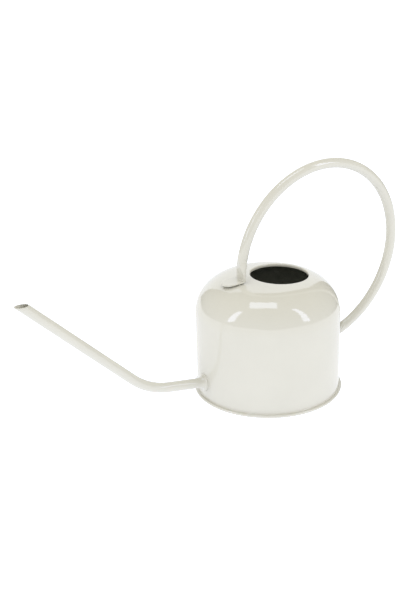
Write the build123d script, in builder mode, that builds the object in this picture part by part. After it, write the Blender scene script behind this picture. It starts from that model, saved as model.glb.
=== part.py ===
"""Watering can with a domed top, a bent spout and a tube loop handle.

All sizes are in millimetres. +Z is up, the spout points along -X, the handle is at +X,
and the plane Y = 0 is the plane of symmetry. The origin is the middle of the base, on the ground.
"""
import os
from math import asin, cos, radians, sin, sqrt, tan
from build123d import *

os.makedirs("parts", exist_ok=True)

# ---------------------------------------------------------------- driving dimensions
SHEET = 0.8            # sheet steel of the shell

WALL_R = 70.0          # outside radius of the round wall
WALL_TOP_Z = 79.6      # where the straight wall turns into the shoulder
SHOULDER_R = 34.8      # radius of the shoulder's bend
CROWN_R = 359.0        # radius of the shallow crown

MOUTH_X = 13.0         # middle of the filling mouth, towards the handle
MOUTH_R = 28.0         # inside radius of the mouth
LIP_DEPTH = 4.0        # how far the mouth's edge is turned down
LIP_BEND_R = 1.4       # outside bend where the crown turns down into the mouth

PAN_SHEET = 0.7        # sheet of the base pan
SEAM_R = 72.6          # outside radius of the folded base seam
SEAM_H = 3.1           # height of the folded base seam
SEAM_BEND_R = 1.3      # outside bend of the fold
SEAM_LIP_CLEAR = 0.6   # how far the shell's flange stops short of the fold
FOOT_RING_R = 66.0     # inside radius of the flat ring the can stands on
PAN_FLOOR_Z = 4.2      # top face of the recessed floor
PAN_SLOPE = 1.5        # how far the pan's inner step leans

TUBE_R = 5.0           # outside radius of the spout's and the handle's tube
TUBE_WALL = 0.8

SPOUT_ROOT_Z = 19.2    # height of the spout's centre line at the wall
SPOUT_RISE = 6.4       # slope of the spout's first stretch, degrees
SPOUT_BEND_X = -107.4  # where the spout's bend starts
SPOUT_BEND_R = 63.4    # bend of the spout's centre line
SPOUT_ARM = 43.7       # slope of the spout's straight arm, degrees
SPOUT_TIP_Z = 135.0    # height of the level cut at the end
SPOUT_INSIDE = 3.0     # how far the tube reaches past the wall into the can

COLLAR_R = 8.6         # outside radius of the collar at the spout's root
COLLAR_RIM = 1.8       # height of the collar's rim
COLLAR_EDGE = 0.6      # rounding of the rim
COLLAR_FLARE = 7.0     # length of the collar's hollow flare along the tube
BRAZE_LEG = 1.7        # size of the brazed fillet inside

LOOP_X, LOOP_Z = 56.9, 125.4     # middle of the handle's loop
LOOP_LONG, LOOP_SHORT = 92.7, 83.7   # half lengths of the loop's two axes, on the centre line
LOOP_LEAN = 62.6                 # lean of the long axis, up from +X, degrees
LOOP_FROM, LOOP_TO = -129.0, 109.0   # where the round tube starts and stops, degrees round the loop

FOOT_W = 15.8          # width of each flattened foot
FOOT_T = 1.6           # thickness of each flattened foot
HEEL_R = 2.2           # bend of each foot, on its middle plane
FRONT_HEEL_X = -28.5   # middle plane of the flattened tube above the front heel
FRONT_CRIMP_Z = 122.0  # height where the front flattening is complete
FRONT_LEAN = 3.5       # slope of the front foot, down towards the spout, degrees
FRONT_GAP = 0.6        # gap under the front foot at its heel
FRONT_WELD_X = -34.4   # middle of the front foot's weld spots
FRONT_END_X = -48.8    # rounded end of the front foot
REAR_HEEL_Z = 36.6     # middle plane of the flattened tube at the rear heel
REAR_CRIMP_X = 77.5    # distance where the rear flattening is complete
REAR_END_Z = 13.5      # rounded end of the rear foot
PINCH = 2.0            # distance short of the flat where the tube's two walls meet
REAR_GAP = 0.3         # gap between the rear foot and the wall

SPOT_R = 1.6           # radius of a weld spot
SPOT_APART = 4.2       # distance between a pair of weld spots
TACK_L = 1.4           # length of a side tack along the foot

# ---------------------------------------------------------------- derived dimensions
crown_lean = asin((WALL_R - SHOULDER_R) / (CROWN_R - SHOULDER_R))
crown_centre_z = WALL_TOP_Z - (CROWN_R - SHOULDER_R) * cos(crown_lean)
crown_top_z = crown_centre_z + CROWN_R
mouth_lean = asin(MOUTH_X / CROWN_R)
mouth_axis = Plane(
    origin=(MOUTH_X, 0, crown_centre_z + CROWN_R * cos(mouth_lean)),
    x_dir=(cos(mouth_lean), 0, -sin(mouth_lean)),
    z_dir=(sin(mouth_lean), 0, cos(mouth_lean)),
)
lip_out = MOUTH_R + LIP_BEND_R
lip_top = sqrt(CROWN_R**2 - lip_out**2) - CROWN_R
rise = radians(SPOUT_RISE)
arm = radians(SPOUT_ARM)
spout_axis = Plane(
    origin=(-WALL_R, 0, SPOUT_ROOT_Z),
    x_dir=(0, 1, 0),
    z_dir=(-cos(rise), 0, sin(rise)),
)
front_lean = radians(FRONT_LEAN)


def crown_z(x):
    """Height of the crown's outer face at distance x from the middle."""
    return crown_centre_z + sqrt(CROWN_R**2 - x**2)


def can_outline(inset):
    """Half outline of the can's volume, its wall moved in by inset, from the ground to the top."""
    wall, bend, crown = WALL_R - inset, SHOULDER_R - inset, CROWN_R - inset
    middle_r = WALL_R - SHOULDER_R
    join = (middle_r + bend * sin(crown_lean), WALL_TOP_Z + bend * cos(crown_lean))
    half = radians(45) - crown_lean / 2
    on_bend = (middle_r + bend * cos(half), WALL_TOP_Z + bend * sin(half))
    on_crown = (crown * sin(crown_lean / 2), crown_centre_z + crown * cos(crown_lean / 2))
    top = (0, crown_centre_z + crown)
    with BuildLine(Plane.XZ) as line:
        Line((wall, 0), (wall, WALL_TOP_Z))
        ThreePointArc((wall, WALL_TOP_Z), on_bend, join)
        ThreePointArc(join, on_crown, top)
        Polyline(top, (0, 0), (wall, 0))
    return line.line


# Volumes that pieces are trimmed to; they are not pieces of the can.
with BuildPart() as can_volume:
    with BuildSketch(Plane.XZ):
        add(can_outline(0))
        make_face()
    revolve(axis=Axis.Z)

with BuildPart() as can_inside:
    with BuildSketch(Plane.XZ):
        add(can_outline(SHEET))
        make_face()
    revolve(axis=Axis.Z)

# ---------------------------------------------------------------- body shell
# One drawn skin: straight wall, shoulder, shallow crown, a mouth with its edge turned down,
# and a flange turned out at the foot, which the base pan is folded round.
flange_r = SEAM_R - PAN_SHEET - SEAM_LIP_CLEAR
flange_top = PAN_SHEET + SHEET
with BuildPart() as body_shell:
    add(can_volume.part)
    add(can_inside.part, mode=Mode.SUBTRACT)
    with BuildSketch(Plane.XY):
        Circle(SEAM_R)
    extrude(amount=PAN_SHEET, mode=Mode.SUBTRACT)
    with BuildSketch(mouth_axis):
        Circle(lip_out)
    extrude(amount=3 * LIP_DEPTH, both=True, mode=Mode.SUBTRACT)
    with BuildSketch(Plane(mouth_axis.origin, x_dir=mouth_axis.x_dir, z_dir=(0, -1, 0))):
        with BuildLine():
            RadiusArc((lip_out, lip_top), (MOUTH_R, lip_top - LIP_BEND_R), -LIP_BEND_R)
            Polyline(
                (MOUTH_R, lip_top - LIP_BEND_R), (MOUTH_R, -LIP_DEPTH),
                (MOUTH_R + SHEET, -LIP_DEPTH), (MOUTH_R + SHEET, lip_top - LIP_BEND_R),
            )
            RadiusArc(
                (MOUTH_R + SHEET, lip_top - LIP_BEND_R), (lip_out, lip_top - SHEET), LIP_BEND_R - SHEET
            )
            Line((lip_out, lip_top - SHEET), (lip_out, lip_top))
        make_face()
    revolve(axis=Axis(mouth_axis.origin, mouth_axis.z_dir))
    add(can_volume.part, mode=Mode.INTERSECT)
    with BuildSketch(Plane.XY.offset(PAN_SHEET)):
        Circle(flange_r)
        Circle(WALL_R - SHEET, mode=Mode.SUBTRACT)
    extrude(amount=SHEET)
    with Locations(spout_axis):
        Cylinder(TUBE_R, 30, mode=Mode.SUBTRACT)
body_shell.part.label = "body_shell"
export_step(body_shell.part, "parts/body_shell.step")

# ---------------------------------------------------------------- base pan
# Pressed bottom: a raised floor, a flat ring that stands on the ground, and a rim folded up,
# round and over the shell's flange. The fold is the bead that runs round the base.
step_in = FOOT_RING_R - PAN_SLOPE
with BuildPart() as base_pan:
    with BuildSketch(Plane.XZ):
        with BuildLine():
            Polyline(
                (0, PAN_FLOOR_Z), (step_in, PAN_FLOOR_Z), (FOOT_RING_R + PAN_SHEET, PAN_SHEET),
                (SEAM_R - PAN_SHEET, PAN_SHEET), (SEAM_R - PAN_SHEET, SEAM_H - PAN_SHEET),
                (WALL_R, SEAM_H - PAN_SHEET), (WALL_R, SEAM_H), (SEAM_R, SEAM_H), (SEAM_R, 0),
                (FOOT_RING_R, 0), (step_in - PAN_SHEET, PAN_FLOOR_Z - PAN_SHEET),
                (0, PAN_FLOOR_Z - PAN_SHEET), (0, PAN_FLOOR_Z),
            )
        make_face()
    revolve(axis=Axis.Z)
    hoops = base_pan.edges().filter_by(GeomType.CIRCLE)
    fillet([e for e in hoops if abs(e.radius - SEAM_R) < 0.01], SEAM_BEND_R)
    hoops = base_pan.edges().filter_by(GeomType.CIRCLE)
    folded = [e for e in hoops if abs(e.radius - SEAM_R + PAN_SHEET) < 0.01]
    fillet(folded, SEAM_BEND_R - PAN_SHEET)
base_pan.part.label = "base_pan"
export_step(base_pan.part, "parts/base_pan.step")

# ---------------------------------------------------------------- seam sealant
# Sealing compound that fills the fold above the shell's flange.
with BuildPart() as seam_sealant:
    with BuildSketch(Plane.XY.offset(flange_top)):
        Circle(flange_r)
        Circle(WALL_R, mode=Mode.SUBTRACT)
    extrude(amount=SEAM_H - PAN_SHEET - flange_top)
seam_sealant.part.label = "seam_sealant"
export_step(seam_sealant.part, "parts/seam_sealant.step")

# ---------------------------------------------------------------- spout tube
# A short rising stretch out of the wall, one smooth bend, a straight arm and a level cut.
spout_in = -(WALL_R - SHEET - SPOUT_INSIDE)
bend_from = (SPOUT_BEND_X, SPOUT_ROOT_Z + (-WALL_R - SPOUT_BEND_X) * tan(rise))
bend_to = (
    bend_from[0] - SPOUT_BEND_R * (sin(arm) - sin(rise)),
    bend_from[1] + SPOUT_BEND_R * (cos(rise) - cos(arm)),
)
tip_x = bend_to[0] - (SPOUT_TIP_Z - bend_to[1]) / tan(arm)
past_tip = 2 * TUBE_R
with BuildPart() as spout_tube:
    with BuildLine(Plane.XZ) as spout_line:
        Line((spout_in, SPOUT_ROOT_Z - (spout_in + WALL_R) * tan(rise)), bend_from)
        TangentArc(bend_from, bend_to, tangent=(-cos(rise), sin(rise)))
        Line(bend_to, (tip_x - past_tip, SPOUT_TIP_Z + past_tip * tan(arm)))
    with BuildSketch(Plane(origin=spout_line.line @ 0, z_dir=spout_line.line % 0)):
        Circle(TUBE_R)
        Circle(TUBE_R - TUBE_WALL, mode=Mode.SUBTRACT)
    sweep(path=spout_line.line)
    split(bisect_by=Plane.XY.offset(SPOUT_TIP_Z), keep=Keep.BOTTOM)
spout_tube.part.label = "spout_tube"
export_step(spout_tube.part, "parts/spout_tube.step")

# ---------------------------------------------------------------- spout collar
# A turned ring on the wall: a short rounded rim, then a long hollow flare down to the tube.
flare = COLLAR_R - COLLAR_EDGE - TUBE_R
with BuildPart() as spout_collar:
    with BuildSketch(Plane(spout_axis.origin, x_dir=spout_axis.z_dir, z_dir=(0, -1, 0))):
        with BuildLine():
            Polyline(
                (COLLAR_RIM + COLLAR_FLARE, TUBE_R), (-3, TUBE_R), (-3, COLLAR_R),
                (COLLAR_RIM - COLLAR_EDGE, COLLAR_R),
            )
            RadiusArc((COLLAR_RIM - COLLAR_EDGE, COLLAR_R), (COLLAR_RIM, COLLAR_R - COLLAR_EDGE), COLLAR_EDGE)
            EllipticalCenterArc(
                (COLLAR_RIM + COLLAR_FLARE, TUBE_R + flare), COLLAR_FLARE, flare,
                start_angle=180, arc_size=90,
            )
        make_face()
    revolve(axis=Axis(spout_axis.origin, spout_axis.z_dir))
    add(can_volume.part, mode=Mode.SUBTRACT)
spout_collar.part.label = "spout_collar"
export_step(spout_collar.part, "parts/spout_collar.step")

# ---------------------------------------------------------------- spout braze
# Ring of filler metal in the corner between the spout's inner end and the wall's inner face.
with BuildPart() as spout_braze:
    with BuildSketch(Plane(spout_axis.origin, x_dir=spout_axis.z_dir, z_dir=(0, -1, 0))):
        with BuildLine():
            Polyline(
                (1, TUBE_R), (1, TUBE_R + BRAZE_LEG), (-SHEET - 0.3, TUBE_R + BRAZE_LEG),
                (-SHEET - 0.3 - BRAZE_LEG, TUBE_R + 0.15), (-SHEET - 0.3 - BRAZE_LEG, TUBE_R), (1, TUBE_R),
            )
        make_face()
    revolve(axis=Axis(spout_axis.origin, spout_axis.z_dir))
    add(can_inside.part, mode=Mode.INTERSECT)
spout_braze.part.label = "spout_braze"
export_step(spout_braze.part, "parts/spout_braze.step")

# ---------------------------------------------------------------- handle tube
# One round tube bent to an upright oval loop. Both ends are pressed flat, bent over outwards
# and lie as round-ended feet: the front one on the crown, the rear one down the back wall.
tab_dir = (-cos(front_lean), 0, -sin(front_lean))
tab_up = (-sin(front_lean), 0, cos(front_lean))
tab_heel_z = crown_z(FRONT_HEEL_X) + FRONT_GAP + FOOT_T / 2


def on_tab(x):
    """Point on the middle plane of the front foot at distance x from the middle of the can."""
    return (x, tab_heel_z + (x - FRONT_HEEL_X) * tan(front_lean))


front_corner = on_tab(FRONT_HEEL_X)
rear_plane_x = WALL_R + REAR_GAP + FOOT_T / 2
with BuildPart() as handle_tube:
    with BuildLine(Plane.XZ) as loop:
        EllipticalCenterArc(
            (LOOP_X, LOOP_Z), LOOP_LONG, LOOP_SHORT,
            start_angle=LOOP_FROM, arc_size=LOOP_TO - LOOP_FROM, rotation=LOOP_LEAN,
        )
    loop_path = loop.line
    rear_at, rear_dir = loop_path @ 0, loop_path % 0
    front_at, front_dir = loop_path @ 1, loop_path % 1
    rear_corner = (rear_plane_x, REAR_HEEL_Z)
    rear_flat_dir = Vector(rear_corner[0] - rear_at.X, 0, rear_corner[1] - rear_at.Z).normalized()
    rear_flat_at = Vector(rear_corner[0], 0, rear_corner[1]) - rear_flat_dir * (REAR_CRIMP_X - rear_plane_x)
    front_flat_at = Vector(FRONT_HEEL_X, 0, FRONT_CRIMP_Z)
    rear_round = Plane(origin=rear_at, x_dir=(0, 1, 0), z_dir=-rear_dir)
    front_round = Plane(origin=front_at, x_dir=(0, 1, 0), z_dir=front_dir)
    rear_flat = Plane(origin=rear_flat_at, x_dir=(0, 1, 0), z_dir=rear_flat_dir)
    front_flat = Plane(origin=front_flat_at, x_dir=(0, 1, 0), z_dir=(0, 0, -1))
    # round tube
    with BuildSketch(Plane(origin=rear_at, x_dir=(0, 1, 0), z_dir=rear_dir)):
        Circle(TUBE_R)
        Circle(TUBE_R - TUBE_WALL, mode=Mode.SUBTRACT)
    sweep(path=loop_path)
    # flattening from round to flat at each end, hollow until the two walls meet
    for round_end, flat_end in ((rear_round, rear_flat), (front_round, front_flat)):
        with BuildSketch(round_end):
            Circle(TUBE_R)
        with BuildSketch(flat_end):
            SlotOverall(FOOT_W, FOOT_T)
        loft()
        with BuildSketch(round_end):
            Circle(TUBE_R - TUBE_WALL)
        with BuildSketch(flat_end.offset(-PINCH)):
            SlotOverall(FOOT_W - 4 * TUBE_WALL, FOOT_T / 2)
        loft(mode=Mode.SUBTRACT)
    # flat ends, bent over
    with BuildLine(Plane.XZ) as front_line:
        FilletPolyline(
            (FRONT_HEEL_X, FRONT_CRIMP_Z), front_corner, on_tab(FRONT_END_X), radius=HEEL_R
        )
    with BuildSketch(front_flat):
        SlotOverall(FOOT_W, FOOT_T)
    sweep(path=front_line.line)
    with BuildLine(Plane.XZ) as rear_line:
        FilletPolyline(
            (rear_flat_at.X, rear_flat_at.Z), rear_corner, (rear_plane_x, REAR_END_Z), radius=HEEL_R
        )
    with BuildSketch(rear_flat):
        SlotOverall(FOOT_W, FOOT_T)
    sweep(path=rear_line.line)
    # round the free ends of the feet
    with BuildSketch(Plane.XY.offset(front_corner[1] - 8)):
        with Locations((FRONT_END_X - FOOT_T, 0)):
            Rectangle(FOOT_W / 2 + FOOT_T, 2 * FOOT_W, align=(Align.MIN, Align.CENTER))
        with Locations((FRONT_END_X + FOOT_W / 2, 0)):
            Circle(FOOT_W / 2, mode=Mode.SUBTRACT)
    extrude(amount=12, mode=Mode.SUBTRACT)
    with BuildSketch(Plane.YZ.offset(rear_plane_x - 4)):
        with Locations((0, REAR_END_Z)):
            Rectangle(2 * FOOT_W, FOOT_W / 2, align=(Align.CENTER, Align.MIN))
        with Locations((0, REAR_END_Z + FOOT_W / 2)):
            Circle(FOOT_W / 2, mode=Mode.SUBTRACT)
    extrude(amount=8, mode=Mode.SUBTRACT)
handle_tube.part.label = "handle_tube"
export_step(handle_tube.part, "parts/handle_tube.step")

# ---------------------------------------------------------------- weld spots
# Metal that joins each foot to the shell across the small gap: two spots in line under the
# middle of the foot, and a short tack under each long edge.
weld_x, weld_z = on_tab(FRONT_WELD_X)
front_spots = Plane(
    origin=(weld_x - tab_up[0] * FOOT_T / 2, 0, weld_z - tab_up[2] * FOOT_T / 2),
    x_dir=(-tab_dir[0], 0, -tab_dir[2]),
    z_dir=tab_up,
)
rear_spots = Plane(
    origin=(WALL_R + REAR_GAP, 0, (REAR_HEEL_Z + REAR_END_Z) / 2), x_dir=(0, 0, 1), z_dir=(1, 0, 0)
)


def welds(face):
    """Weld metal from a foot's inner face, which is the plane given, down to the can's skin."""
    with BuildPart() as metal:
        with BuildSketch(face):
            with Locations((-SPOT_APART / 2, 0), (SPOT_APART / 2, 0)):
                Circle(SPOT_R)
            with Locations((0, FOOT_W / 2 - 1.6), (0, 1.6 - FOOT_W / 2)):
                Rectangle(TACK_L, 1.8)
        extrude(amount=-4)
        add(can_volume.part, mode=Mode.SUBTRACT)
    return metal.part


front_foot_welds = welds(front_spots)
front_foot_welds.label = "front_foot_welds"
export_step(front_foot_welds, "parts/front_foot_welds.step")

rear_foot_welds = welds(rear_spots)
rear_foot_welds.label = "rear_foot_welds"
export_step(rear_foot_welds, "parts/rear_foot_welds.step")
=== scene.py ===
"""Enamelled watering can: the visible skins, their finishes and a plain studio round them.

All lengths are in metres. +Z is up, the spout points along -X and the handle is at +X.
"""
from math import cos, pi, radians, sin

import bmesh
import bpy
import numpy as np
from bpy.props import FloatProperty, FloatVectorProperty, PointerProperty
from mathutils import Matrix, Vector


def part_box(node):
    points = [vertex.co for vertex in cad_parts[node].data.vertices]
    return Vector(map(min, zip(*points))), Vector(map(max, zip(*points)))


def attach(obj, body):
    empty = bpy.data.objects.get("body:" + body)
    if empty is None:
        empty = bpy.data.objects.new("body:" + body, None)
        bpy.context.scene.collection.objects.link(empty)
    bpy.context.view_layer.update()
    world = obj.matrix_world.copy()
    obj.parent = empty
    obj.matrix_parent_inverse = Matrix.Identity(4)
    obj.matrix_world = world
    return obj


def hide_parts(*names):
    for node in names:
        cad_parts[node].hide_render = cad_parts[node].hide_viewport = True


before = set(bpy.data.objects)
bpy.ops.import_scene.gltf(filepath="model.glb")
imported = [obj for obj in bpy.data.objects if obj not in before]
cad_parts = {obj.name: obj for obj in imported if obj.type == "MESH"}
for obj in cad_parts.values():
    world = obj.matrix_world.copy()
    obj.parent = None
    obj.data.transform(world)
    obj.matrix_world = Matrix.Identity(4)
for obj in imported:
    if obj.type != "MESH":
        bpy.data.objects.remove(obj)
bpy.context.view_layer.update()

bl_info = {
    "name": "Enamelled Watering Can",
    "version": (1, 0, 0),
    "blender": (4, 5, 0),
    "location": "3D View > Sidebar > Watering can",
    "description": "Builds the skins and finishes of an enamelled watering can",
    "category": "Add Mesh",
}

SHELL_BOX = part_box("body_shell")
PAN_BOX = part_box("base_pan")
SPOUT_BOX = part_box("spout_tube")
HANDLE_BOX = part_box("handle_tube")
COLLAR_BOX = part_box("spout_collar")


def length(name, about, default):
    """A length property in metres, shown to a hundredth of a millimetre."""
    return FloatProperty(name=name, description=about, default=default, unit="LENGTH", precision=5)


def angle(name, about, degrees):
    """An angle property, its default given in degrees."""
    return FloatProperty(name=name, description=about, default=radians(degrees), unit="ROTATION")


def colour(name, about, default):
    """A linear colour property."""
    return FloatVectorProperty(name=name, description=about, default=default, subtype="COLOR", min=0, max=1)


# ---------------------------------------------------------------- sizes and colours
class BodySize(bpy.types.PropertyGroup):
    """Sizes of the can's drawn skin and its mouth."""

    wall_radius: length("Wall radius", "Outside radius of the round wall", 0.0700)
    wall_top: length("Wall top", "Height where the wall turns into the shoulder", 0.0796)
    shoulder_radius: length("Shoulder bend", "Radius of the shoulder's bend", 0.0348)
    crown_radius: length("Crown radius", "Radius of the shallow crown", 0.3590)
    sheet: length("Sheet", "Thickness of the enamelled sheet", 0.0008)
    mouth_x: length("Mouth place", "Middle of the mouth, towards the handle", 0.0130)
    mouth_radius: length("Mouth radius", "Inside radius of the mouth", 0.0280)
    lip_depth: length("Lip depth", "How far the mouth's edge is turned down", 0.0040)
    lip_bend: length("Lip bend", "Bend where the crown turns down into the mouth", 0.0014)
    flange_radius: length("Flange radius", "Outside radius of the flange at the foot", SHELL_BOX[1].y)
    foot: length("Foot", "Height of the flange's underside", SHELL_BOX[0].z)


class PanSize(bpy.types.PropertyGroup):
    """Sizes of the base pan and the folded seam round it."""

    seam_radius: length("Seam radius", "Outside radius of the folded seam", PAN_BOX[1].x)
    seam_height: length("Seam height", "Height of the folded seam", 0.0031)
    seam_bend: length("Seam bend", "Outside bend of the fold", 0.0013)
    sheet: length("Sheet", "Thickness of the pan's sheet", 0.0007)
    ring_radius: length("Standing ring", "Inside radius of the ring the can stands on", 0.0660)
    step_lean: length("Step lean", "How far the step to the floor leans", 0.0015)
    floor_height: length("Floor height", "Top of the recessed floor", PAN_BOX[1].z)


class SpoutSize(bpy.types.PropertyGroup):
    """Sizes of the spout's tube and its collar."""

    tube_radius: length("Tube radius", "Outside radius of the tube", SPOUT_BOX[1].y)
    tube_wall: length("Tube wall", "Thickness of the tube's wall", 0.0008)
    root_height: length("Root height", "Height of the centre line at the can's wall", 0.0192)
    root_slope: angle("Root slope", "Slope of the first stretch", 6.4)
    bend_start: length("Bend start", "Distance from the can's middle where the bend starts", 0.1074)
    bend_radius: length("Bend radius", "Bend of the centre line", 0.0634)
    arm_slope: angle("Arm slope", "Slope of the straight arm", 43.7)
    tip_height: length("Tip height", "Height of the level cut", SPOUT_BOX[1].z)
    inside: length("Inner reach", "How far the tube reaches past the wall into the can", 0.0030)
    collar_radius: length("Collar radius", "Outside radius of the collar", COLLAR_BOX[1].y)
    collar_rim: length("Collar rim", "Height of the collar's rim over the wall", 0.0018)
    collar_edge: length("Collar edge", "Rounding of the collar's rim", 0.0006)
    collar_flare: length("Collar flare", "Length of the collar's hollow flare along the tube", 0.0070)
    glazed_bore: length("Glazed bore", "How far the cover enamel runs into the bore", 0.0090)


class HandleSize(bpy.types.PropertyGroup):
    """Sizes of the handle's tube, its loop and its two pressed feet."""

    tube_radius: length("Tube radius", "Outside radius of the round tube", 0.0050)
    loop_x: length("Loop middle X", "Middle of the loop, towards the handle side", 0.0569)
    loop_z: length("Loop middle Z", "Height of the loop's middle", 0.1254)
    loop_long: length("Long half axis", "Half length of the loop's long axis", 0.0927)
    loop_short: length("Short half axis", "Half length of the loop's short axis", 0.0837)
    loop_lean: angle("Loop lean", "Lean of the long axis, up from +X", 62.6)
    loop_from: angle("Loop from", "Where the round tube starts, round the loop", -129.0)
    loop_to: angle("Loop to", "Where the round tube stops, round the loop", 109.0)
    foot_width: length("Foot width", "Width of each pressed foot", HANDLE_BOX[1].y - HANDLE_BOX[0].y)
    foot_sheet: length("Foot thickness", "Thickness of each pressed foot", 0.0016)
    heel_radius: length("Heel bend", "Bend of each foot on its middle plane", 0.0022)
    front_heel: length("Front heel", "Distance of the flattened tube above the front heel", -0.0285)
    front_crimp: length("Front crimp", "Height where the front flattening is complete", 0.1220)
    front_lean: angle("Front lean", "Slope of the front foot, down towards the spout", 3.5)
    front_gap: length("Front gap", "Gap under the front foot at its heel", 0.0006)
    front_end: length("Front end", "Rounded end of the front foot", -0.0488)
    rear_heel: length("Rear heel", "Height of the rear heel", 0.0366)
    rear_crimp: length("Rear crimp", "Distance where the rear flattening is complete", 0.0775)
    rear_end: length("Rear end", "Rounded end of the rear foot", HANDLE_BOX[0].z)
    rear_gap: length("Rear gap", "Gap between the rear foot and the wall", 0.0003)


class Finish(bpy.types.PropertyGroup):
    """Colours of the can's finishes."""

    enamel: colour("Enamel", "Warm off-white cover enamel", (0.510, 0.496, 0.427))
    enamel_thin: colour("Thin enamel", "Cover enamel where it is drawn thin", (0.470, 0.454, 0.385))
    ground_coat: colour("Ground coat", "Dark enamel inside the can", (0.200, 0.205, 0.165))
    sealant: colour("Sealing compound", "Compound in the base seam", (0.020, 0.020, 0.020))
    braze: colour("Braze", "Brazing filler inside the spout's root", (0.45, 0.30, 0.12))


class StageSize(bpy.types.PropertyGroup):
    """The studio's light levels and the camera's place."""

    azimuth: angle("Camera azimuth", "0 looks along +Y", -26.497)
    elevation: angle("Camera elevation", "Height of the camera over the horizon", 22.126)
    roll: angle("Camera roll", "Turn about the line of sight", -1.454)
    distance: length("Camera distance", "Distance from the aim point", 1.0134)
    aim_x: length("Aim X", "Aim point towards the handle", -0.0640)
    aim_z: length("Aim Z", "Height of the aim point", 0.1085)
    lens: FloatProperty(name="Lens", description="Focal length in millimetres", default=66.247)
    surround: FloatProperty(name="Surround", description="Light level of the white surround", default=1.45)
    room: colour("Room", "Light level of the dim room that gloss mirrors", (0.12, 0.11, 0.08))
    table_glow: colour("Table glow", "Light level of the lit table top", (1.30, 1.36, 1.58))
    mirrored_table: colour("Mirrored table", "Light level of the table seen in gloss", (1.10, 1.11, 1.16))


# ---------------------------------------------------------------- shared mesh tools
def arc(centre, radius, start, stop, steps):
    """Points centre + radius (cos a, sin a) for steps + 1 even angles a from start to stop, in degrees."""
    a = np.radians(np.linspace(start, stop, steps + 1))
    return np.column_stack((centre[0] + radius * np.cos(a), centre[1] + radius * np.sin(a)))


def line(start, stop, steps):
    """Points start + t (stop - start) for steps + 1 even t from 0 to 1."""
    t = np.linspace(0, 1, steps + 1)[:, None]
    return np.asarray(start) + t * (np.asarray(stop) - np.asarray(start))


def joined(*stretches):
    """The stretches one after another, a point that repeats the one before it left out."""
    points = np.vstack(stretches)
    apart = np.linalg.norm(np.diff(points, axis=0), axis=1) > 1e-7
    return points[np.concatenate(([True], apart))]


def skin(name, grid, materials, row_slot=None, rows_wrap=True, sharp=50):
    """Mesh over a grid of rows x columns points; the columns always close into rings.

    The rows close too, or end in rings that have shrunk to a point or a line and are welded.
    The faces are turned outward: their signed volume, the sum of p0 . (p1 x p2) / 6, is positive.
    """
    rows, columns = grid.shape[:2]
    index = np.arange(rows * columns).reshape(rows, columns)
    beside = np.roll(index, -1, axis=1)
    quads = np.stack((index, beside, np.roll(beside, -1, axis=0), np.roll(index, -1, axis=0)), axis=2)
    slots = np.zeros(rows, int) if row_slot is None else np.asarray(row_slot)
    if not rows_wrap:
        quads, slots = quads[:-1], slots[:-1]
    slots = np.repeat(slots, columns)
    quads = quads.reshape(-1, 4)
    points = grid.reshape(-1, 3)
    a, b, c, d = (points[quads[:, i]] for i in range(4))
    volume = np.sum(a * np.cross(b, c)) + np.sum(a * np.cross(c, d))
    if volume < 0:
        quads = quads[:, ::-1]
    mesh = bpy.data.meshes.new(name)
    mesh.from_pydata(points, [], quads)
    for material in materials:
        mesh.materials.append(material)
    mesh.polygons.foreach_set("material_index", slots.astype(np.int32))
    mesh.polygons.foreach_set("use_smooth", np.ones(len(quads), bool))
    if not rows_wrap:
        welded = bmesh.new()
        welded.from_mesh(mesh)
        bmesh.ops.remove_doubles(welded, verts=welded.verts, dist=1e-6)
        welded.to_mesh(mesh)
        welded.free()
    mesh.set_sharp_from_angle(angle=radians(sharp))
    piece = bpy.data.objects.new(name, mesh)
    bpy.context.scene.collection.objects.link(piece)
    return piece


def fit_to_frame(piece, slot, *nodes):
    """The piece rides on the can's only body and stands for its CAD nodes, which it hides; slot is not used.
    """
    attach(piece, "root")
    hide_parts(*nodes)


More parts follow.
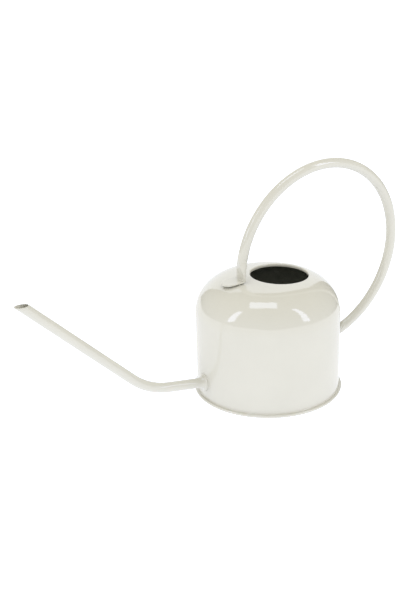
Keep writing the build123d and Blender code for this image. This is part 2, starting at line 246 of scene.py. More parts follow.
# ---------------------------------------------------------------- finishes
class Nodes:
    """A new material's node tree, with short calls that add a node and wire it up."""

    def __init__(self, name):
        self.material = bpy.data.materials.new(name)
        self.material.use_nodes = True
        self.tree = self.material.node_tree
        self.shader = self.tree.nodes["Principled BSDF"]
        self.place = self.add("ShaderNodeTexCoord").outputs["Object"]

    def add(self, kind, **settings):
        node = self.tree.nodes.new(kind)
        for key, value in settings.items():
            setattr(node, key, value)
        return node

    def noise(self, scale, detail=2.0, roughness=0.5, distortion=0.0):
        """Noise in object space; scale is in cycles per metre."""
        node = self.add("ShaderNodeTexNoise")
        self.tree.links.new(self.place, node.inputs["Vector"])
        node.inputs["Scale"].default_value = scale
        node.inputs["Detail"].default_value = detail
        node.inputs["Roughness"].default_value = roughness
        node.inputs["Distortion"].default_value = distortion
        return node.outputs["Fac"]

    def spots(self, scale):
        """Distance to the nearest of many scattered points; scale is in points per metre."""
        node = self.add("ShaderNodeTexVoronoi")
        self.tree.links.new(self.place, node.inputs["Vector"])
        node.inputs["Scale"].default_value = scale
        return node.outputs["Distance"]

    def remap(self, value, low, high, to_low, to_high):
        """value from low..high to to_low..to_high, clamped."""
        node = self.add("ShaderNodeMapRange")
        self.tree.links.new(value, node.inputs["Value"])
        for key, number in (("From Min", low), ("From Max", high), ("To Min", to_low), ("To Max", to_high)):
            node.inputs[key].default_value = number
        return node.outputs["Result"]

    def blend(self, factor, first, second):
        """Colour between first and second; each is a colour or another node's output."""
        node = self.add("ShaderNodeMix", data_type="RGBA")
        self.tree.links.new(factor, node.inputs["Factor"])
        for socket, value in ((node.inputs[6], first), (node.inputs[7], second)):
            if isinstance(value, bpy.types.NodeSocket):
                self.tree.links.new(value, socket)
            else:
                socket.default_value = (*value, 1)
        return node.outputs[2]

    def bump(self, height, depth, below=None):
        """Bump of that depth in metres, over another bump."""
        node = self.add("ShaderNodeBump")
        node.inputs["Distance"].default_value = depth
        self.tree.links.new(height, node.inputs["Height"])
        if below is not None:
            self.tree.links.new(below, node.inputs["Normal"])
        return node.outputs["Normal"]

    def attribute(self, name):
        return self.add("ShaderNodeAttribute", attribute_name=name).outputs["Fac"]

    def wire(self, **outputs):
        """Wires outputs to the shader's inputs, named with _ for a space."""
        for key, value in outputs.items():
            self.tree.links.new(value, self.shader.inputs[key.replace("_", " ")])


def scaled(tint, factor):
    """The colour with each part times factor."""
    return tuple(part * factor for part in tint)


def enamel_material(finish):
    """Cover enamel: warm off-white glass with faint cloudiness, pinholes, orange peel and slow waves."""
    n = Nodes("cover_enamel")
    cloud = n.noise(26, detail=3, roughness=0.55)
    tint = n.blend(n.remap(cloud, 0.3, 0.7, 0, 1), scaled(finish.enamel, 0.985), scaled(finish.enamel, 1.015))
    grain = n.noise(900, detail=2)
    tint = n.blend(n.remap(grain, 0.66, 0.78, 0, 0.10), tint, scaled(finish.enamel_thin, 0.9))
    pinholes = n.remap(n.spots(140), 0.0, 0.045, 0.35, 0.0)
    tint = n.blend(pinholes, tint, scaled(finish.enamel_thin, 0.55))
    tint = n.blend(n.remap(n.attribute("thin"), 0, 1, 0, 0.55), tint, finish.enamel_thin)
    smudge = n.noise(60, detail=4, roughness=0.6)
    waves = n.bump(n.noise(38, detail=1), 0.00006)
    peel = n.bump(n.noise(420, detail=2, roughness=0.4), 0.000006, waves)
    n.wire(Base_Color=tint, Roughness=n.remap(smudge, 0.35, 0.7, 0.045, 0.085), Normal=peel)
    n.shader.inputs["IOR"].default_value = 1.6
    return n.material


def ground_coat_material(finish):
    """Ground coat inside the can: dark glassy enamel with pale flecks and a coarser peel."""
    n = Nodes("ground_coat")
    tint = n.blend(n.noise(120, detail=3), scaled(finish.ground_coat, 0.8), scaled(finish.ground_coat, 1.3))
    flecks = n.remap(n.spots(420), 0.0, 0.10, 0.6, 0.0)
    tint = n.blend(flecks, tint, scaled(finish.enamel, 0.35))
    peel = n.bump(n.noise(300, detail=2), 0.00002)
    n.wire(Base_Color=tint, Roughness=n.remap(n.noise(90, detail=3), 0.3, 0.7, 0.16, 0.30), Normal=peel)
    n.shader.inputs["IOR"].default_value = 1.5
    return n.material


def sealant_material(finish):
    """Cured sealing compound: near black, matt and slightly lumpy."""
    n = Nodes("sealing_compound")
    tint = n.blend(n.noise(500, detail=4), finish.sealant, scaled(finish.sealant, 2.2))
    n.wire(Base_Color=tint, Roughness=n.remap(n.noise(260), 0.3, 0.7, 0.55, 0.8),
           Normal=n.bump(n.noise(700, detail=3), 0.00005))
    return n.material


def braze_material(finish):
    """Brazing filler: dull yellow metal with ripples and dark flux stains."""
    n = Nodes("brazing_filler")
    stain = n.remap(n.noise(420, detail=4), 0.45, 0.7, 0, 0.8)
    tint = n.blend(stain, finish.braze, scaled(finish.braze, 0.3))
    n.wire(Base_Color=tint, Roughness=n.remap(n.noise(300, detail=3), 0.3, 0.7, 0.3, 0.6),
           Normal=n.bump(n.noise(900, detail=2), 0.00006))
    n.shader.inputs["Metallic"].default_value = 1.0
    return n.material


def glowing_material(name, level):
    """Even light of that level, for a studio panel."""
    material = bpy.data.materials.new(name)
    material.use_nodes = True
    tree = material.node_tree
    tree.nodes.clear()
    glow = tree.nodes.new("ShaderNodeEmission")
    glow.inputs["Color"].default_value = (*level, 1)
    out = tree.nodes.new("ShaderNodeOutputMaterial")
    tree.links.new(glow.outputs["Emission"], out.inputs["Surface"])
    return material


def table_material(glow):
    """Matt white table top, lit from inside, with a barely seen mottle."""
    n = Nodes("white_table")
    n.wire(Base_Color=n.blend(n.noise(9, detail=3), (0.24, 0.24, 0.24), (0.26, 0.26, 0.26)),
           Normal=n.bump(n.noise(1500, detail=2), 0.00001))
    n.shader.inputs["Emission Color"].default_value = (*glow, 1)
    n.shader.inputs["Emission Strength"].default_value = 1.0
    n.shader.inputs["Roughness"].default_value = 0.9
    n.shader.inputs["Specular IOR Level"].default_value = 0.1
    return n.material


def finish_named(name):
    """The finish of that name, made once and shared by the pieces."""
    makers = {
        "cover_enamel": enamel_material,
        "ground_coat": ground_coat_material,
        "sealing_compound": sealant_material,
        "brazing_filler": braze_material,
    }
    return bpy.data.materials.get(name) or makers[name](bpy.context.scene.can_finish)


def mark_thin(piece, amount):
    """Stores 0..1 per point: how thin the enamel is drawn there."""
    layer = piece.data.attributes.new("thin", "FLOAT", "POINT")
    layer.data.foreach_set("value", np.asarray(amount, np.float32).ravel())


def points_of(piece):
    """The mesh's points as an array."""
    co = np.empty(len(piece.data.vertices) * 3, np.float32)
    piece.data.vertices.foreach_get("co", co)
    return co.reshape(-1, 3)


# ---------------------------------------------------------------- body skin
def skin_height(radius, inset, size):
    """Height of the can's top at a radius, its surface moved in by inset.

    A sphere of crown_radius out to where it meets the shoulder: z = c + sqrt(R^2 - r^2); then the
    shoulder's ring: z = wall_top + sqrt(b^2 - (r - m)^2), with m the ring's middle radius.
    """
    crown, bend = size.crown_radius - inset, size.shoulder_radius - inset
    middle = size.wall_radius - size.shoulder_radius
    lean = np.arcsin(middle / (size.crown_radius - size.shoulder_radius))
    centre = size.wall_top - (size.crown_radius - size.shoulder_radius) * np.cos(lean)
    on_crown = centre + np.sqrt(crown**2 - np.minimum(radius, crown) ** 2)
    on_bend = size.wall_top + np.sqrt(np.clip(bend**2 - (radius - middle) ** 2, 0, None))
    return np.where(radius < middle + bend * np.sin(lean), on_crown, on_bend)


def ring_points(radius, height, around):
    """Rings about +Z: (r cos a, r sin a, z) for each radius, height and angle a."""
    radius, height = np.broadcast_arrays(np.asarray(radius, float), np.asarray(height, float))
    return np.stack(
        (np.outer(radius, np.cos(around)), np.outer(radius, np.sin(around)),
         np.outer(height, np.ones_like(around))), axis=2)


def skin_side(size, inset, around):
    """One face of the can's skin, from the mouth's turned edge down to the foot, as rows of rings.

    The lip is a profile carried round the leaning mouth axis. From its ring the rows slide to a
    level ring about the can's axis, p = (1 - t) mouth ring + t level ring in plan, their height
    from skin_height, and then follow the shoulder's bend and the straight wall.
    """
    lean = np.arcsin(size.mouth_x / size.crown_radius)
    out = np.array((np.cos(lean), 0, -np.sin(lean)))
    side = np.array((0.0, 1.0, 0.0))
    up = np.array((np.sin(lean), 0, np.cos(lean)))
    mouth = np.array((size.mouth_x, 0, float(skin_height(size.mouth_x, 0, size))))
    lip_out = size.mouth_radius + size.lip_bend
    lip_top = np.sqrt(size.crown_radius**2 - lip_out**2) - size.crown_radius
    bend = size.lip_bend - inset
    skirt = line((size.mouth_radius + inset, -size.lip_depth + size.sheet / 2),
                 (size.mouth_radius + inset, lip_top - size.lip_bend), 6)
    turn = arc((lip_out, lip_top - size.lip_bend), bend, 180, 90, 10)
    profile = joined(skirt, turn)
    spokes = np.outer(np.cos(around), out) + np.outer(np.sin(around), side)
    lip = mouth + profile[:, 0, None, None] * spokes + profile[:, 1, None, None] * up
    ring = lip[-1]
    settle = skin_height(np.hypot(ring[:, 0], ring[:, 1]), inset, size) - ring[:, 2]
    share = np.clip((profile[:, 1] - (lip_top - size.lip_bend)) / bend, 0, 1)
    lip[:, :, 2] += share[:, None] * settle

    level_radius = 0.76 * size.wall_radius
    level = np.column_stack((np.cos(around), np.sin(around))) * level_radius
    t = np.linspace(0, 1, 31)[1:, None, None]
    plan = (1 - t) * ring[:, :2] + t * level
    height = skin_height(np.hypot(plan[..., 0], plan[..., 1]), inset, size)
    crown = np.concatenate((plan, height[..., None]), axis=2)

    middle = size.wall_radius - size.shoulder_radius
    bend = size.shoulder_radius - inset
    top = np.degrees(np.arccos((level_radius - middle) / bend))
    wall = size.wall_radius - inset
    foot = size.foot + (0 if inset else size.sheet)
    flange = size.flange_radius
    outline = joined(
        arc((middle, size.wall_top), bend, top, 0, 34)[1:],
        line((wall, size.wall_top), (wall, foot + 0.0004), 22),
        line((wall, foot), (flange, foot), 1) if not inset else line((wall, foot), (wall, foot), 1),
    )
    return np.concatenate((lip, crown, ring_points(outline[:, 0], outline[:, 1], around)))


def build_body(size):
    """The can's skin: outer and inner face, closed by the lip's rounded edge and the foot's flange."""
    around = np.linspace(0, 2 * pi, 360, endpoint=False)
    outer = skin_side(size, 0.0, around)
    inner = skin_side(size, size.sheet, around)[::-1]
    edge_in, edge_out = inner[-1], outer[0]
    roll = np.linspace(0, pi, 7)[1:-1, None, None]
    middle, half = (edge_in + edge_out) / 2, (edge_in - edge_out) / 2
    lean = np.arcsin(size.mouth_x / size.crown_radius)
    down = np.array((-np.sin(lean), 0, -np.cos(lean)))
    edge = middle + np.cos(roll) * half + np.sin(roll) * down * size.sheet / 2
    flange = ring_points([size.flange_radius], [size.foot], around)
    grid = np.concatenate((outer, flange, inner, edge))
    inside = np.zeros(len(grid), int)
    inside[len(outer) + 1:len(outer) + len(flange) + len(inner)] = 1
    piece = skin("body_skin", grid, (finish_named("cover_enamel"), finish_named("ground_coat")), inside)
    co = points_of(piece)
    far = np.hypot(co[:, 0] - size.mouth_x, co[:, 1]) - size.mouth_radius
    mark_thin(piece, 0.3 * np.exp(-np.abs(far) / 0.0012))
    fit_to_frame(piece, "enamel", "body_shell")
    return piece


# ---------------------------------------------------------------- base pan
def build_pan(size, body):
    """Base pan as a turned profile: floor, step, standing ring and the fold over the shell's flange."""
    s, r, h, b = size.sheet, size.seam_radius, size.seam_height, size.seam_bend
    step = size.ring_radius - size.step_lean
    pool = 0.0009
    profile = joined(
        line((0, size.floor_height), (step - 0.001, size.floor_height), 14),
        line((step, size.floor_height - 0.0003), (size.ring_radius + s, s), 4),
        line((size.ring_radius + s, s), (r - b, s), 3),
        arc((r - b, b), b - s, -90, 0, 5),
        arc((r - b, h - b), b - s, 0, 90, 5),
        line((body.wall_radius + 0.0001, h - s), (body.wall_radius - 0.0001, h - s), 1),
        line((body.wall_radius - 0.0001, h + pool), (body.wall_radius, h + pool), 1),
        arc((body.wall_radius + pool, h + pool), pool, 180, 270, 6),
        arc((r - b, h - b), b, 90, 0, 12),
        arc((r - b, b), b, 0, -90, 12),
        line((size.ring_radius + 0.0006, 0), (size.ring_radius, 0.0001), 2),
        line((size.ring_radius, 0.0002), (step - s, size.floor_height - s - 0.0003), 4),
        line((step - s - 0.001, size.floor_height - s), (0, size.floor_height - s), 14),
    )
    around = np.linspace(0, 2 * pi, 288, endpoint=False)
    inside = (np.arange(len(profile)) < 23).astype(int)
    grid = ring_points(profile[:, 0], profile[:, 1], around)
    materials = (finish_named("cover_enamel"), finish_named("ground_coat"))
    piece = skin("base_pan_skin", grid, materials, inside, rows_wrap=False)
    co = points_of(piece)
    radius = np.hypot(co[:, 0], co[:, 1])
    mark_thin(piece, 0.15 * np.clip((radius - (r - 0.0006)) / 0.0006, 0, 1))
    fit_to_frame(piece, "enamel", "base_pan")
    return piece


# ---------------------------------------------------------------- spout
def spout_frame(size, body):
    """The spout's root on the wall and the axis it leaves along, in the XZ plane."""
    root = np.array((-body.wall_radius, size.root_height))
    return root, np.array((-cos(size.root_slope), sin(size.root_slope)))


def build_spout_tube(size, body):
    """Tube round a line, an arc and a straight arm; each line along it ends on the level cut.

    A point is c(s) + r (cos a n + sin a y), with c the centre line and n its upper normal. On the
    arm the run of each generator is (tip height - its start height) / slope, so the end is level.
    """
    root, ahead = spout_frame(size, body)
    slope, arm = size.root_slope, size.arm_slope
    start = root - ahead * (body.sheet + size.inside) / cos(slope)
    bend_from = root + ahead * (size.bend_start - body.wall_radius) / cos(slope)
    upper = np.array((sin(slope), cos(slope)))
    centre = bend_from + upper * size.bend_radius
    turn = np.linspace(slope, arm, 27)
    around = np.linspace(0, 2 * pi, 72, endpoint=False)
    run = np.linspace(0, 1, 13)[:, None]
    straight = start + run * (bend_from - start)
    bend = centre - size.bend_radius * np.column_stack((np.sin(turn), np.cos(turn)))
    spine = np.concatenate((straight[:-1], bend))
    lean = np.concatenate((np.full(len(straight) - 1, slope), turn))
    arm_ahead = np.array((-cos(arm), sin(arm)))

    def wall(radius, cut):
        """Rings of one radius from the root to the level cut at height cut, and the last of them."""
        normal = np.column_stack((np.sin(lean), np.cos(lean)))
        ring = spine[:, None, :] + radius * np.cos(around)[None, :, None] * normal[:, None, :]
        last = ring[-1]
        reach = (cut - last[:, 1]) / arm_ahead[1]
        t = np.linspace(0, 1, 31)[1:, None, None]
        out = last + t * reach[None, :, None] * arm_ahead
        plane = np.concatenate((ring, out))
        across = np.broadcast_to(radius * np.sin(around), plane.shape[:2])
        return np.stack((plane[..., 0], across, plane[..., 1]), axis=2)

    bore = size.tube_radius - size.tube_wall
    half, middle = size.tube_wall / 2, size.tube_radius - size.tube_wall / 2
    tip = size.tip_height
    rim = [wall(middle + half * cos(a), tip - half * (1 - sin(a)))[-1]
           for a in np.linspace(0, pi, 9)[1:-1]]
    outer, inner = wall(size.tube_radius, tip - half), wall(bore, tip - half)[::-1]
    grid = np.concatenate((outer, np.stack(rim), inner))
    inside = np.zeros(len(grid), int)
    glazed = int(np.ceil(size.glazed_bore / np.linalg.norm(inner[1, 0] - inner[0, 0])))
    inside[len(outer) + len(rim) + glazed:] = 1
    piece = skin("spout_tube_skin", grid, (finish_named("cover_enamel"), finish_named("ground_coat")), inside)
    mark_thin(piece, np.exp(-np.abs(tip - points_of(piece)[:, 2]) / 0.0007))
    fit_to_frame(piece, "enamel", "spout_tube")
    return piece


def build_collar(size, body):
    """Collar round the spout's root: a rounded rim and a hollow flare, its foot on the round wall.

    A point is root + a d + r (cos u y + sin u n). The foot's a solves x^2 + y^2 = wall radius^2.
    """
    root, ahead = spout_frame(size, body)
    across = np.array((sin(size.root_slope), cos(size.root_slope)))
    around = np.linspace(0, 2 * pi, 96, endpoint=False)
    edge, rim, outer = size.collar_edge, size.collar_rim, size.collar_radius
    flare, reach = outer - edge - size.tube_radius, size.collar_flare
    pool = 0.0005
    profile = joined(
        arc((pool, outer + pool), pool, 180, 270, 6),
        arc((rim - edge, outer - edge), edge, 90, 0, 8),
        np.array((rim + reach, size.tube_radius + flare)) + arc((0, 0), 1, 180, 270, 24) * (reach, flare),
        line((rim + reach, size.tube_radius - 0.0001), (-0.0006, size.tube_radius - 0.0001), 6),
        line((-0.0006, outer), (-0.0006, outer + pool), 1),
    )
    along, radius = profile[:, 0, None], profile[:, 1, None]
    side = radius * np.cos(around)
    rise = radius * np.sin(around)
    foot = np.sqrt(body.wall_radius**2 - side**2) - body.wall_radius + rise * across[0]
    foot = foot / cos(size.root_slope)
    hold = np.clip(1 - along / (rim - edge), 0, 1)
    out = along + hold * foot
    x = root[0] + out * ahead[0] + rise * across[0]
    z = root[1] + out * ahead[1] + rise * across[1]
    piece = skin("spout_collar_skin", np.stack((x, side, z), axis=2), (finish_named("cover_enamel"),))
    mark_thin(piece, np.zeros(len(piece.data.vertices)))
    fit_to_frame(piece, "enamel", "spout_collar")
    return piece


# ---------------------------------------------------------------- handle
def eased(start, start_dir, stop, stop_dir, steps):
    """Cubic curve between two points with given directions at its ends (Hermite's formula)."""
    start, stop = np.asarray(start), np.asarray(stop)
    pull = np.linalg.norm(stop - start)
    t = np.linspace(0, 1, steps + 1)[:, None]
    return ((2 * t**3 - 3 * t**2 + 1) * start + (t**3 - 2 * t**2 + t) * pull * np.asarray(start_dir)
            + (3 * t**2 - 2 * t**3) * stop + (t**3 - t**2) * pull * np.asarray(stop_dir))


def rounded_corner(before, corner, after, radius, steps):
    """Arc of that radius that touches both runs from before to corner to after."""
    before, corner, after = (np.asarray(p) for p in (before, corner, after))
    back = (before - corner) / np.linalg.norm(before - corner)
    ahead = (after - corner) / np.linalg.norm(after - corner)
    half = np.arccos(np.clip(back @ ahead, -1, 1)) / 2
    middle = corner + (back + ahead) / np.linalg.norm(back + ahead) * radius / np.sin(half)
    first = corner + back * radius / np.tan(half) - middle
    last = corner + ahead * radius / np.tan(half) - middle
    sweep = np.arccos(np.clip(first @ last / radius**2, -1, 1))
    t = np.linspace(0, 1, steps + 1)[:, None]
    return middle + (np.sin((1 - t) * sweep) * first + np.sin(t * sweep) * last) / np.sin(sweep)


def section(across, thick, corner, steps):
    """Rounded rectangles with half width across, half thickness thick and corner radius corner.

    Each is walked at an even pace from the middle of its first broad face, so that with all three
    equal it is a circle. Returns (offset along the normal, offset along the width) per row.
    """
    flat_w, flat_t = across - corner, thick - corner
    bend = corner * pi / 2
    pace = np.linspace(0, 1, steps, endpoint=False)[None, :] * (4 * (flat_w + flat_t + bend))
    spans = [flat_w, bend, 2 * flat_t, bend, 2 * flat_w, bend, 2 * flat_t, bend, flat_w]
    ends = np.cumsum(np.concatenate(spans, axis=1), axis=1)
    starts = ends - np.concatenate(spans, axis=1)
    normal, width = np.zeros_like(pace), np.zeros_like(pace)
    runs = (
        ("face", 1), ("bend", 90), ("side", 1), ("bend", 0), ("face", -1), ("bend", -90), ("side", -1),
        ("bend", 180), ("last", 1),
    )
    for place, (kind, sign) in enumerate(runs):
        here = (pace >= starts[:, place, None]) & (pace <= ends[:, place, None])
        done = pace - starts[:, place, None]
        if kind == "bend":
            a = np.radians(sign) - done / np.maximum(corner, 1e-9)
            cw = np.where(np.cos(np.radians(sign) - pi / 4) > 0, 1, -1)
            cn = np.where(np.sin(np.radians(sign) - pi / 4) > 0, 1, -1)
            n, w = cn * flat_t + corner * np.sin(a), cw * flat_w + corner * np.cos(a)
        elif kind == "side":
            n, w = sign * (flat_t - done), sign * (across + 0 * done)
        elif kind == "last":
            n, w = thick + 0 * done, -flat_w + done
        else:
            n = sign * (thick + 0 * done)
            w = done if place == 0 else flat_w - done
        normal, width = np.where(here, n, normal), np.where(here, w, width)
    return normal, width


def build_handle(size, body):
    """Handle tube: its section runs from pressed foot to round loop and back to pressed foot.

    A point is c(s) + u n + v y, with (u, v) on a rounded rectangle whose girth stays near the
    round tube's: as its half thickness h falls, its half width grows by (r - h) pi / 2 - (r - h).
    """
    r, sheet = size.tube_radius, size.foot_sheet / 2
    long_dir = np.array((cos(size.loop_lean), sin(size.loop_lean)))
    short_dir = np.array((-sin(size.loop_lean), cos(size.loop_lean)))
    a = np.linspace(size.loop_from, size.loop_to, 201)[:, None]
    loop = np.array((size.loop_x, size.loop_z)) + size.loop_long * np.cos(a) * long_dir \
        + size.loop_short * np.sin(a) * short_dir
    rear_dir = loop[1] - loop[0]
    rear_dir /= np.linalg.norm(rear_dir)
    front_dir = loop[-1] - loop[-2]
    front_dir /= np.linalg.norm(front_dir)

    heel_z = float(skin_height(-size.front_heel, 0, body)) + size.front_gap + sheet

    def on_foot(x):
        """Point of the front foot's middle plane at distance x."""
        return np.array((x, heel_z + (x - size.front_heel) * np.tan(size.front_lean)))

    front_flat, front_corner = np.array((size.front_heel, size.front_crimp)), on_foot(size.front_heel)
    front_end = on_foot(size.front_end)
    rear_x = body.wall_radius + size.rear_gap + sheet
    rear_corner = np.array((rear_x, size.rear_heel))
    rear_run = loop[0] - rear_corner
    rear_run /= np.linalg.norm(rear_run)
    rear_flat = rear_corner + rear_run * (size.rear_crimp - rear_x)
    rear_end = np.array((rear_x, size.rear_end))

    reach = size.foot_width / 2
    grow = reach * (1 - np.cos(np.linspace(0, pi / 2, 19)))[:, None]
    rear_up = np.array((0.0, 1.0))
    front_out = (front_end - front_corner) / np.linalg.norm(front_end - front_corner)
    rear_bend = rounded_corner(rear_end, rear_corner, rear_flat, size.heel_radius, 12)
    front_bend = rounded_corner(front_flat, front_corner, front_end, size.heel_radius, 12)
    stretches = (
        rear_end + grow * rear_up,
        line(rear_end + reach * rear_up, rear_bend[0], 10),
        rear_bend,
        line(rear_bend[-1], rear_flat, 4),
        eased(rear_flat, rear_run, loop[0], rear_dir, 40),
        loop,
        eased(loop[-1], front_dir, front_flat, (0, -1), 44),
        line(front_flat, front_bend[0], 4),
        front_bend,
        line(front_bend[-1], front_end - reach * front_out, 8),
        (front_end - grow * front_out)[::-1],
    )
    spine = joined(*stretches)
    ahead = np.gradient(spine, axis=0)
    ahead /= np.linalg.norm(ahead, axis=1)[:, None]
    normal = np.column_stack((ahead[:, 1], -ahead[:, 0]))
    walked = np.concatenate(([0], np.cumsum(np.linalg.norm(np.diff(spine, axis=0), axis=1))))

    def station(point):
        """How far along the spine its nearest point to this one is."""
        return walked[np.argmin(np.linalg.norm(spine - point, axis=1))]

    rear_span = (station(rear_flat), station(loop[0]))
    front_span = (station(front_flat), station(loop[-1]))
    press = np.minimum(
        (walked - rear_span[0]) / (rear_span[1] - rear_span[0]),
        (front_span[0] - walked) / (front_span[0] - front_span[1]))
    press = np.clip(press, 0, 1)[:, None]
    bite = 0.06 * (1 - np.clip((press - 0.93) / 0.07, 0, 1))
    thick = sheet + (r - sheet) * np.where(press < 1, press * (1 - bite), 1)
    full = size.foot_width / 2
    across = thick + (r - thick) * (full - sheet) / (r - sheet)
    corner = thick.copy()
    from_end = np.minimum(walked, walked[-1] - walked)[:, None]
    cut = from_end < reach
    edge = 0.00045
    sheared = np.clip(1 - (from_end - reach) / 0.002, 0, 1)
    corner = np.where(from_end < reach + 0.002, sheet + sheared * (edge - sheet), corner)
    across = np.where(cut, np.sqrt(np.clip(reach**2 - (reach - from_end) ** 2, 0, None)), across)
    rounding = np.sqrt(np.clip(edge**2 - (edge - np.minimum(from_end, edge)) ** 2, 0, None))
    thick = np.where(from_end < edge, sheet - edge + rounding, thick)
    corner = np.minimum(np.minimum(corner, across), thick)
    steps = 112
    up, wide = section(across, thick, corner, steps)
    dish = 0.00022 * np.sin(pi * np.clip(press / 0.95, 0, 1)) * np.clip(
        1 - (wide / np.maximum(across - corner, 1e-5)) ** 2, 0, 1)
    up = up - np.sign(up) * dish * (np.abs(up) > 0.98 * thick)
    x = spine[:, 0, None] + up * normal[:, 0, None]
    z = spine[:, 1, None] + up * normal[:, 1, None]
    grid = np.stack((x, wide, z), axis=2)
    piece = skin("handle_tube_skin", grid, (finish_named("cover_enamel"),), rows_wrap=False)
    mark_thin(piece, np.zeros(len(piece.data.vertices)))
    fit_to_frame(piece, "enamel", "handle_tube")
    return piece


# ---------------------------------------------------------------- stage
def toward(azimuth, elevation, distance, centre=(0, 0, 0.1)):
    """Point at that distance; azimuth runs from +Y towards +X, both angles in degrees."""
    az, el = radians(azimuth), radians(elevation)
    flat = distance * cos(el)
    return Vector(centre) + Vector((flat * sin(az), flat * cos(az), distance * sin(el)))


def sheet_of(name, corners, material, gloss_only):
    """A flat panel of the studio."""
    mesh = bpy.data.meshes.new(name)
    mesh.from_pydata([tuple(c) for c in corners], [], [tuple(range(len(corners)))])
    mesh.materials.append(material)
    panel = bpy.data.objects.new(name, mesh)
    bpy.context.scene.collection.objects.link(panel)
    if gloss_only:
        show_only_in_gloss(panel)
    return panel


def show_only_in_gloss(thing):
    """The thing is mirrored in glossy skins, but neither seen, nor lights or shades anything else."""
    thing.visible_camera = False
    thing.visible_diffuse = False
    thing.visible_shadow = False
    thing.visible_transmission = False


TABLE_HORIZON = (
    (-175, -151, -129, -107, -91, -72, -55, -33, -5, 44, 52, 85, 109, 131, 160),
    (7.5, 8.7, 8.6, 7.0, 5.0, 2.0, 0.0, -4.0, -3.0, -14.0, -15.0, -8.0, -3.0, 1.0, 5.7))


def build_stage(size):
    """White table, even white surround, and the panels, bowl and dim room that the gloss mirrors.

    The bowl runs from straight below up to TABLE_HORIZON, elevations against azimuths in degrees.
    """
    table_turn = radians(23)
    out = Vector((sin(table_turn), cos(table_turn), 0))
    side = Vector((cos(table_turn), -sin(table_turn), 0))
    corners = [out * a + side * b for a, b in ((-0.72, -2.6), (-0.72, 2.6), (2.4, 2.6), (2.4, -2.6))]
    table = sheet_of("table", corners, table_material(size.table_glow), False)
    table.visible_glossy = False

    azimuths = np.arange(-180.0, 180.0, 6.0)
    rim = [toward(az, el, 5.6) for az, el in zip(azimuths, np.interp(azimuths, *TABLE_HORIZON, period=360))]
    bowl = bpy.data.meshes.new("white_bowl")
    faces = [(i, (i + 1) % len(rim), len(rim)) for i in range(len(rim))]
    bowl.from_pydata([tuple(point) for point in rim] + [(0, 0, -5.6)], [], faces)
    bowl.materials.append(glowing_material("white_bowl_light", tuple(size.mirrored_table)))
    mirrored = bpy.data.objects.new("white_bowl", bowl)
    bpy.context.scene.collection.objects.link(mirrored)
    show_only_in_gloss(mirrored)

    panels = {
        "backdrop": (((-5, -3), (52, -15), (52, 36), (-5, 46)), 2.2, (1.15, 1.20, 1.32)),
        "ceiling_softbox": (((-44, 73), (95, 81), (177, 70), (-97, 64)), 1.6, (2.9, 3.2, 4.0)),
        "left_softbox": (((-87, 44), (-95, 51), (-97, 18), (-85, 10)), 1.6, (3.4, 3.6, 4.7)),
        "right_softbox": (((149, 58), (141, 52), (141, 10), (152, 15)), 1.6, (3.4, 3.6, 4.7)),
        "near_screen": (
            ((-95, 55), (-152, 71), (152, 59), (152, 6), (-152, 5), (-98, 10)), 1.8, (0.03, 0.03, 0.02)),
    }
    for name, (bearings, distance, level) in panels.items():
        light = glowing_material(name + "_light", level)
        sheet_of(name, [toward(*b, distance) for b in bearings], light, True)

    ball = bmesh.new()
    bmesh.ops.create_icosphere(ball, subdivisions=4, radius=6.0)
    mesh = bpy.data.meshes.new("dim_room")
    ball.to_mesh(mesh)
    ball.free()
    mesh.materials.append(glowing_material("dim_room_light", tuple(size.room)))
    room = bpy.data.objects.new("dim_room", mesh)
    bpy.context.scene.collection.objects.link(room)
    show_only_in_gloss(room)

    world = bpy.data.worlds.new("surround")
    bpy.context.scene.world = world
    world.use_nodes = True
    sky = world.node_tree.nodes["Background"]
    sky.inputs["Color"].default_value = (1, 1, 1, 1)
    sky.inputs["Strength"].default_value = size.surround
    world.cycles.sampling_method = "NONE"

    back = Vector((sin(size.azimuth) * cos(size.elevation), -cos(size.azimuth) * cos(size.elevation),
                   sin(size.elevation)))
    level_right = Vector((cos(size.azimuth), sin(size.azimuth), 0))
    level_up = back.cross(level_right)
    right = level_right * cos(size.roll) + level_up * sin(size.roll)
    up = back.cross(right)
    lens = bpy.data.cameras.new("camera")
    lens.sensor_width, lens.lens = 36.0, size.lens
    lens.clip_start, lens.clip_end = 0.01, 50.0
    camera = bpy.data.objects.new("camera", lens)
    bpy.context.scene.collection.objects.link(camera)
    turn = Matrix((right, up, back)).transposed().to_4x4()
    place = Vector((size.aim_x, 0, size.aim_z)) + back * size.distance
    camera.matrix_world = Matrix.Translation(place) @ turn
    bpy.context.scene.camera = camera
    bpy.context.scene.view_settings.view_transform = "Standard"


# ---------------------------------------------------------------- operators and panel
class CAN_OT_body(bpy.types.Operator):
    """Build the can's drawn skin with its domed top, off-centre mouth and dark inside"""

    bl_idname = "can.body"
    bl_label = "Body skin"

    def execute(self, context):
        build_body(context.scene.can_body)
        return {"FINISHED"}


class CAN_OT_pan(bpy.types.Operator):
    """Build the base pan with its folded seam"""

    bl_idname = "can.pan"
    bl_label = "Base pan"

    def execute(self, context):
        build_pan(context.scene.can_pan, context.scene.can_body)
        return {"FINISHED"}


class CAN_OT_spout(bpy.types.Operator):
    """Build the bent spout tube and the collar at its root"""

    bl_idname = "can.spout"
    bl_label = "Spout and collar"

    def execute(self, context):
        build_spout_tube(context.scene.can_spout, context.scene.can_body)
        build_collar(context.scene.can_spout, context.scene.can_body)
        return {"FINISHED"}


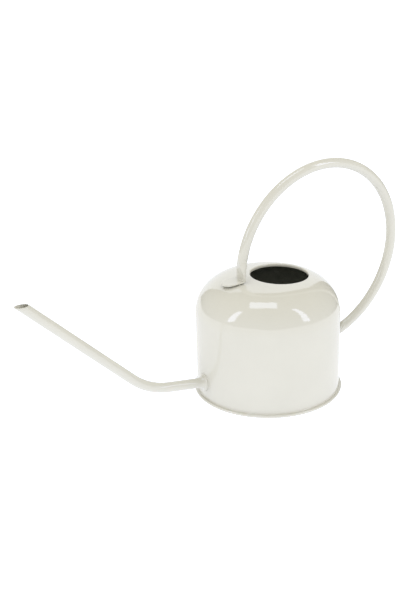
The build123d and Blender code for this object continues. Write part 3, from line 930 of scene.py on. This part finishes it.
class CAN_OT_handle(bpy.types.Operator):
    """Build the handle's tube loop and its two pressed feet"""

    bl_idname = "can.handle"
    bl_label = "Handle"

    def execute(self, context):
        build_handle(context.scene.can_handle, context.scene.can_body)
        return {"FINISHED"}


class CAN_OT_joints(bpy.types.Operator):
    """Finish the small CAD parts that join the can: sealing compound, braze and welds"""

    bl_idname = "can.joints"
    bl_label = "Seals and welds"

    def execute(self, context):
        finishes = {
            "seam_sealant": "sealing_compound",
            "spout_braze": "brazing_filler",
            "front_foot_welds": "cover_enamel",
            "rear_foot_welds": "cover_enamel",
        }
        for node, name in finishes.items():
            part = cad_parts[node]
            for place in part.material_slots:
                place.material = finish_named(name)
        return {"FINISHED"}


class CAN_OT_stage(bpy.types.Operator):
    """Set up the table, the light and the camera"""

    bl_idname = "can.stage"
    bl_label = "Studio"

    def execute(self, context):
        build_stage(context.scene.can_stage)
        return {"FINISHED"}


OPERATORS = (CAN_OT_body, CAN_OT_pan, CAN_OT_spout, CAN_OT_handle, CAN_OT_joints, CAN_OT_stage)
GROUPS = {
    "can_body": BodySize,
    "can_pan": PanSize,
    "can_spout": SpoutSize,
    "can_handle": HandleSize,
    "can_finish": Finish,
    "can_stage": StageSize,
}


class CAN_PT_panel(bpy.types.Panel):
    """Lists the can's operators, in the order that they run"""

    bl_idname = "CAN_PT_panel"
    bl_label = "Watering can"
    bl_space_type = "VIEW_3D"
    bl_region_type = "UI"
    bl_category = "Watering can"

    def draw(self, context):
        for operator in OPERATORS:
            self.layout.operator(operator.bl_idname)


def register():
    """Registers the classes and hangs the sizes on the scene."""
    for cls in (*GROUPS.values(), *OPERATORS, CAN_PT_panel):
        bpy.utils.register_class(cls)
    for name, group in GROUPS.items():
        setattr(bpy.types.Scene, name, PointerProperty(type=group))


def unregister():
    """Takes the sizes off the scene and unregisters the classes."""
    for name in GROUPS:
        delattr(bpy.types.Scene, name)
    for cls in reversed((*GROUPS.values(), *OPERATORS, CAN_PT_panel)):
        bpy.utils.unregister_class(cls)


def main():
    register()
    for operator in OPERATORS:
        group, name = operator.bl_idname.split(".")
        getattr(getattr(bpy.ops, group), name)()


if __name__ == "__main__":
    main()
